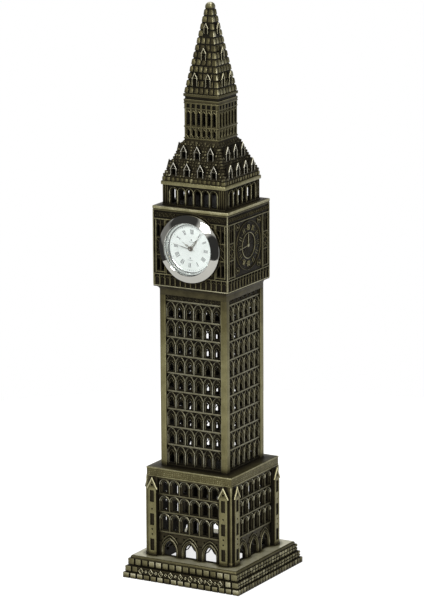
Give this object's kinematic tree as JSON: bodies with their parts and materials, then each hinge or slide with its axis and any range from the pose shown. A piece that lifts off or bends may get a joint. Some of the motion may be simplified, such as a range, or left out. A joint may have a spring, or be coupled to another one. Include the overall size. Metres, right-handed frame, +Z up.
{
  "type": "miniature landmark model",
  "caption": "Miniature gothic clock tower in antique bronze: pierced walls on a stepped brick plinth, slender spire and a press-in quartz clock.",
  "frame": {"origin": "centre of the underside, in the plane of the plinth's rim", "axes": "+Z up through the spire; -Y out of the clock's face; +X to the right as the clock is read"},
  "size_m": [0.0554, 0.0554, 0.24],
  "materials": {
    "antique_bronze": "dark antique bronze plating on a die casting, rubbed bright on raised edges",
    "screw_steel": "zinc plated",
    "polished_chrome": "mirror polished",
    "crystal": "clear, polished",
    "silver_ring": "silver coated",
    "dial_white": "satin white",
    "white_plastic": "moulded",
    "gilt_brass": "bright gilt",
    "copper_wire": "lacquered copper winding",
    "circuit_green": "solder mask",
    "cell_steel": "fine brushed",
    "black_rubber": "matt",
    "hand_black": "dark oxide"
  },
  "bodies": {
    "tower": {"base_screws": "screw_steel", "plinth": "antique_bronze", "podium_cornice": "antique_bronze", "clock_tier_collar": "antique_bronze", "clock_tier_slab": "antique_bronze", "belfry_cornice": "antique_bronze", "lower_roof": "antique_bronze", "lantern_cap": "antique_bronze", "spire": "antique_bronze", "podium_front": "antique_bronze", "podium_right": "antique_bronze", "podium_back": "antique_bronze", "podium_left": "antique_bronze", "shaft_front": "antique_bronze", "shaft_right": "antique_bronze", "shaft_back": "antique_bronze", "shaft_left": "antique_bronze", "belfry_front": "antique_bronze", "belfry_right": "antique_bronze", "belfry_back": "antique_bronze", "belfry_left": "antique_bronze", "lantern_front": "antique_bronze", "lantern_right": "antique_bronze", "lantern_back": "antique_bronze", "lantern_left": "antique_bronze", "podium_corner_front_right": "antique_bronze", "podium_corner_back_right": "antique_bronze", "podium_corner_back_left": "antique_bronze", "podium_corner_front_left": "antique_bronze", "shaft_post_front_right": "antique_bronze", "shaft_post_back_right": "antique_bronze", "shaft_post_back_left": "antique_bronze", "shaft_post_front_left": "antique_bronze", "clock_panel_front": "antique_bronze", "clock_panel_right": "antique_bronze", "clock_panel_back": "antique_bronze", "clock_panel_left": "antique_bronze"},
    "insert": {"insert_case": "polished_chrome", "crystal": "crystal", "dial_ring": "silver_ring", "dial": "dial_white", "movement_holder": "white_plastic", "movement_plate": "gilt_brass", "coil": "copper_wire", "circuit_board": "circuit_green", "coin_cell": "cell_steel", "battery_clip": "gilt_brass", "friction_ring": "black_rubber"},
    "case_back": {"case_back": "cell_steel"},
    "second_hand": {"seconds_arbor": "screw_steel", "second_hand": "hand_black"},
    "minute_hand": {"cannon_pinion": "gilt_brass", "minute_hand": "hand_black"},
    "hour_hand": {"hour_wheel": "gilt_brass", "hour_hand": "hand_black"},
    "crown_slide": {"setting_lever": "screw_steel"},
    "crown": {"stem": "screw_steel", "crown": "cell_steel"}
  },
  "joints": [
    {"name": "insert_pull", "type": "slide", "parent": "tower", "child": "insert", "axis": [0, -1, 0], "range_m": [0, 0.014]},
    {"name": "case_back_snap", "type": "slide", "parent": "insert", "child": "case_back", "axis": [0, 1, 0], "range_m": [0, 0.006]},
    {"name": "second_hand_turn", "type": "hinge", "parent": "insert", "child": "second_hand", "pos_m": [0, -0.018, 0.141], "axis": [0, 1, 0], "continuous": true},
    {"name": "minute_hand_turn", "type": "hinge", "parent": "insert", "child": "minute_hand", "pos_m": [0, -0.0178, 0.141], "axis": [0, 1, 0], "continuous": true},
    {"name": "hour_hand_turn", "type": "hinge", "parent": "insert", "child": "hour_hand", "pos_m": [0, -0.0173, 0.141], "axis": [0, 1, 0], "continuous": true},
    {"name": "crown_pull", "type": "slide", "parent": "insert", "child": "crown_slide", "axis": [1, 0, 0], "range_m": [0, 0.0008]},
    {"name": "crown_turn", "type": "hinge", "parent": "crown_slide", "child": "crown", "pos_m": [0.012, -0.0132, 0.141], "axis": [1, 0, 0], "continuous": true}
  ],
  "couplings": [
    {"joint": "minute_hand_turn", "follows": "second_hand_turn", "ratio": 0.016667},
    {"joint": "hour_hand_turn", "follows": "second_hand_turn", "ratio": 0.0013889}
  ]
}
